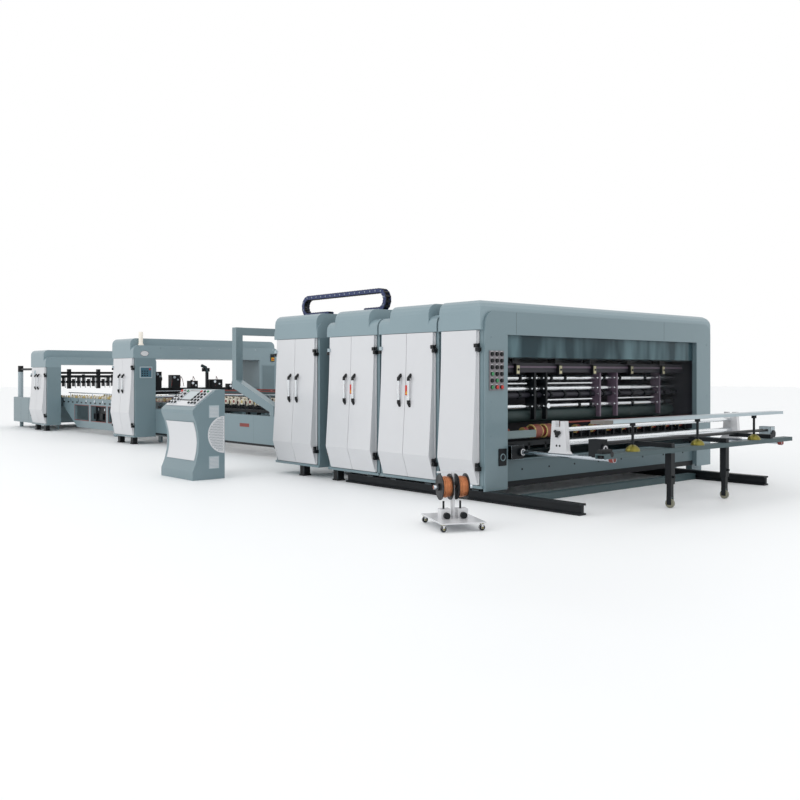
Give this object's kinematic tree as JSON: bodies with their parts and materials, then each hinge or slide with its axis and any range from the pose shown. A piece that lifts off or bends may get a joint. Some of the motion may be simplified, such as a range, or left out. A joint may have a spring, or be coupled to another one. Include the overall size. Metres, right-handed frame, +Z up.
{
  "type": "box stitching machine",
  "caption": "Corrugated box printing, folding and stitching line with doored side cabinets, portals, conveyor, console and wire cart.",
  "frame": {"origin": "centre of the underside of the floor cross tie that joins the two floor rails at the feeder", "axes": "+X upstream towards the feed table, +Y across towards the drive side, +Z up"},
  "size_m": [20.9503, 6.7506, 2.6563],
  "materials": {
    "grey_paint": "satin",
    "white_paint": "satin",
    "dark_green_paint": "matte",
    "black_steel": "matte",
    "chrome": "polished",
    "green_rubber": "matte",
    "red_rubber": "matte",
    "aluminium": "satin",
    "smoked_glass": "gloss",
    "copper_wire": "satin",
    "blue_chain": "satin",
    "lamp_lens": "gloss"
  },
  "bodies": {
    "line": {"floor_cross_tie": "dark_green_paint", "floor_rail_near": "black_steel", "floor_rail_far": "black_steel", "feeder_cabinet": "grey_paint", "feeder_drive_casing": "grey_paint", "feeder_hood": "grey_paint", "feeder_base_beam": "dark_green_paint", "printer_a_cabinet": "grey_paint", "printer_a_drive_casing": "grey_paint", "printer_a_hood": "grey_paint", "printer_a_base_beam": "dark_green_paint", "printer_b_cabinet": "grey_paint", "printer_b_drive_casing": "grey_paint", "printer_b_hood": "grey_paint", "printer_b_base_beam": "dark_green_paint", "slotter_cabinet": "grey_paint", "slotter_drive_casing": "grey_paint", "slotter_hood": "grey_paint", "slotter_base_beam": "dark_green_paint", "stitcher_cabinet": "grey_paint", "stitcher_portal": "grey_paint", "counter_cabinet": "grey_paint", "counter_portal": "grey_paint", "printer_a_roll": "black_steel", "feeder_end_plate": "grey_paint", "feeder_shaft_frame": "dark_green_paint", "feeder_screen": "smoked_glass", "feeder_button_panel": "aluminium", "side_rail_near": "chrome", "side_rail_far": "chrome", "feed_guide_frame": "white_paint", "feed_carriage": "chrome", "table_stand": "dark_green_paint", "edge_guide_bar": "aluminium", "folding_bed": "grey_paint", "folding_carriers": "red_rubber", "folding_gate": "grey_paint", "stitching_heads": "black_steel", "signal_lamp": "lamp_lens", "counter_carriage": "black_steel", "counting_conveyor": "grey_paint", "delivery_table": "grey_paint", "console_body": "grey_paint", "console_top_panel": "white_paint", "spool_cart": "white_paint", "cable_chain": "blue_chain"},
    "feeder_door": {"feeder_door": "white_paint"},
    "printer_a_door_right": {"printer_a_door_right": "white_paint"},
    "printer_a_door_left": {"printer_a_door_left": "white_paint"},
    "printer_b_door_right": {"printer_b_door_right": "white_paint"},
    "printer_b_door_left": {"printer_b_door_left": "white_paint"},
    "slotter_door_right": {"slotter_door_right": "white_paint"},
    "slotter_door_left": {"slotter_door_left": "white_paint"},
    "stitcher_door_right": {"stitcher_door_right": "white_paint"},
    "stitcher_door_left": {"stitcher_door_left": "white_paint"},
    "counter_door_right": {"counter_door_right": "white_paint"},
    "counter_door_left": {"counter_door_left": "white_paint"},
    "feed_roll": {"feed_roll": "green_rubber"},
    "feed_wheels": {"feed_wheels": "red_rubber"},
    "wire_spools": {"wire_spools": "copper_wire"}
  },
  "joints": [
    {"name": "feeder_door_hinge", "type": "hinge", "parent": "line", "child": "feeder_door", "pos_m": [-0.3503, -2.492, 1], "axis": [0, 0, 1], "range_deg": [0, 90]},
    {"name": "printer_a_door_right_hinge", "type": "hinge", "parent": "line", "child": "printer_a_door_right", "pos_m": [-1.0803, -2.492, 1], "axis": [0, 0, 1], "range_deg": [0, 90]},
    {"name": "printer_a_door_left_hinge", "type": "hinge", "parent": "line", "child": "printer_a_door_left", "pos_m": [-2.0703, -2.492, 1], "axis": [0, 0, -1], "range_deg": [0, 90]},
    {"name": "printer_b_door_right_hinge", "type": "hinge", "parent": "line", "child": "printer_b_door_right", "pos_m": [-2.2003, -2.492, 1], "axis": [0, 0, 1], "range_deg": [0, 90]},
    {"name": "printer_b_door_left_hinge", "type": "hinge", "parent": "line", "child": "printer_b_door_left", "pos_m": [-3.1903, -2.492, 1], "axis": [0, 0, -1], "range_deg": [0, 90]},
    {"name": "slotter_door_right_hinge", "type": "hinge", "parent": "line", "child": "slotter_door_right", "pos_m": [-3.5203, -2.492, 1], "axis": [0, 0, 1], "range_deg": [0, 90]},
    {"name": "slotter_door_left_hinge", "type": "hinge", "parent": "line", "child": "slotter_door_left", "pos_m": [-4.5103, -2.492, 1], "axis": [0, 0, -1], "range_deg": [0, 90]},
    {"name": "stitcher_door_right_hinge", "type": "hinge", "parent": "line", "child": "stitcher_door_right", "pos_m": [-10.9803, -1.792, 1], "axis": [0, 0, 1], "range_deg": [0, 90]},
    {"name": "stitcher_door_left_hinge", "type": "hinge", "parent": "line", "child": "stitcher_door_left", "pos_m": [-11.9203, -1.792, 1], "axis": [0, 0, -1], "range_deg": [0, 90]},
    {"name": "counter_door_right_hinge", "type": "hinge", "parent": "line", "child": "counter_door_right", "pos_m": [-16.6903, -1.542, 1], "axis": [0, 0, 1], "range_deg": [0, 90]},
    {"name": "counter_door_left_hinge", "type": "hinge", "parent": "line", "child": "counter_door_left", "pos_m": [-17.6503, -1.542, 1], "axis": [0, 0, -1], "range_deg": [0, 90]},
    {"name": "feed_roll_spin", "type": "hinge", "parent": "line", "child": "feed_roll", "pos_m": [-0.69, 0, 0.945], "axis": [0, 1, 0], "continuous": true},
    {"name": "feed_wheels_spin", "type": "hinge", "parent": "line", "child": "feed_wheels", "pos_m": [-0.47, 0, 0.76], "axis": [0, 1, 0], "continuous": true},
    {"name": "wire_spools_spin", "type": "hinge", "parent": "line", "child": "wire_spools", "pos_m": [0.66, -3.86, 0.385], "axis": [0.4305, 0.9026, 0], "continuous": true}
  ]
}
